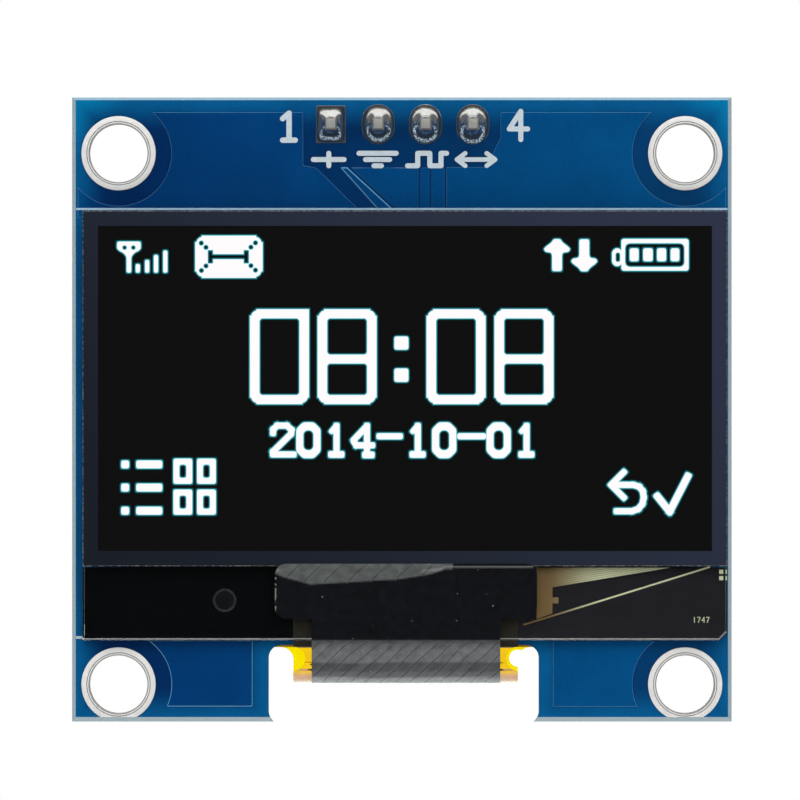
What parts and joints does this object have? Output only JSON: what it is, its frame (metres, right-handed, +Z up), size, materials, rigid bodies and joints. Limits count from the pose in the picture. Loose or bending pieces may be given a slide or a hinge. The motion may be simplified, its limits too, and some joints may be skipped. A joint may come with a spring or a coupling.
{
  "type": "small oled module",
  "caption": "Small OLED display module: glass panel on a blue circuit board with corner mounting holes, a folded flex cable and a rear pin header.",
  "frame": {"origin": "centre of the four mounting holes on the circuit board's back face", "axes": "+X to the right and +Z up as the lit display is seen from the front; -Y out of the display, +Y along the header pins behind the board"},
  "size_m": [0.0354, 0.0116, 0.0334],
  "materials": {
    "board_laminate": "glass-fibre laminate under glossy blue solder mask",
    "tinned_copper": "hot-air levelled tin over copper",
    "solder": "bright smooth solder",
    "pin_metal": "tin-plated brass",
    "header_plastic": "moulded, fine matte",
    "panel_glass": "clear, ground edges",
    "polariser_film": "dark glossy film",
    "light_layer": "dark mirror-like layer, lit dots white",
    "seal_glue": "cured dark glue",
    "drying_sheet": "white matte sheet",
    "bare_silicon": "polished dark grey",
    "panel_leads": "thin gold-coloured metal film",
    "black_foam": "closed-cell foam tape",
    "flex_film": "translucent yellow polyimide film",
    "black_tape": "thin creased tape",
    "capacitor_ceramic": "fired, satin",
    "resistor_ceramic": "black glazed top",
    "tinned_metal": "matte tin",
    "case_moulding": "moulded epoxy"
  },
  "bodies": {
    "root": {"back_pads": "tinned_copper", "cap_foam_lower": "black_foam", "cap_foam_upper": "black_foam", "cap_glass": "panel_glass", "capacitor_1_body": "capacitor_ceramic", "capacitor_1_ends": "tinned_metal", "capacitor_2_body": "capacitor_ceramic", "capacitor_2_ends": "tinned_metal", "capacitor_3_body": "capacitor_ceramic", "capacitor_3_ends": "tinned_metal", "capacitor_4_body": "capacitor_ceramic", "capacitor_4_ends": "tinned_metal", "capacitor_5_body": "capacitor_ceramic", "capacitor_5_ends": "tinned_metal", "capacitor_6_body": "capacitor_ceramic", "capacitor_6_ends": "tinned_metal", "circuit_board": "board_laminate", "component_solder": "solder", "contact_solder": "solder", "diode_case": "case_moulding", "diode_leads": "tinned_metal", "driver_chip": "bare_silicon", "drying_sheet": "drying_sheet", "edge_seal": "seal_glue", "flex_cable": "flex_film", "flex_tape": "black_tape", "front_glass": "panel_glass", "header_housing": "header_plastic", "header_pad_1": "tinned_copper", "header_pad_2": "tinned_copper", "header_pad_3": "tinned_copper", "header_pad_4": "tinned_copper", "header_pin_1": "pin_metal", "header_pin_2": "pin_metal", "header_pin_3": "pin_metal", "header_pin_4": "pin_metal", "header_solder_1": "solder", "header_solder_2": "solder", "header_solder_3": "solder", "header_solder_4": "solder", "hole_lining_1": "tinned_copper", "hole_lining_2": "tinned_copper", "hole_lining_3": "tinned_copper", "hole_lining_4": "tinned_copper", "ledge_foam_left": "black_foam", "ledge_foam_right": "black_foam", "light_layer": "light_layer", "panel_leads": "panel_leads", "polariser_film": "polariser_film", "regulator_case": "case_moulding", "regulator_leads": "tinned_metal", "resistor_1_body": "resistor_ceramic", "resistor_1_ends": "tinned_metal", "resistor_2_body": "resistor_ceramic", "resistor_2_ends": "tinned_metal", "resistor_3_body": "resistor_ceramic", "resistor_3_ends": "tinned_metal", "resistor_4_body": "resistor_ceramic", "resistor_4_ends": "tinned_metal"}
  },
  "joints": []
}
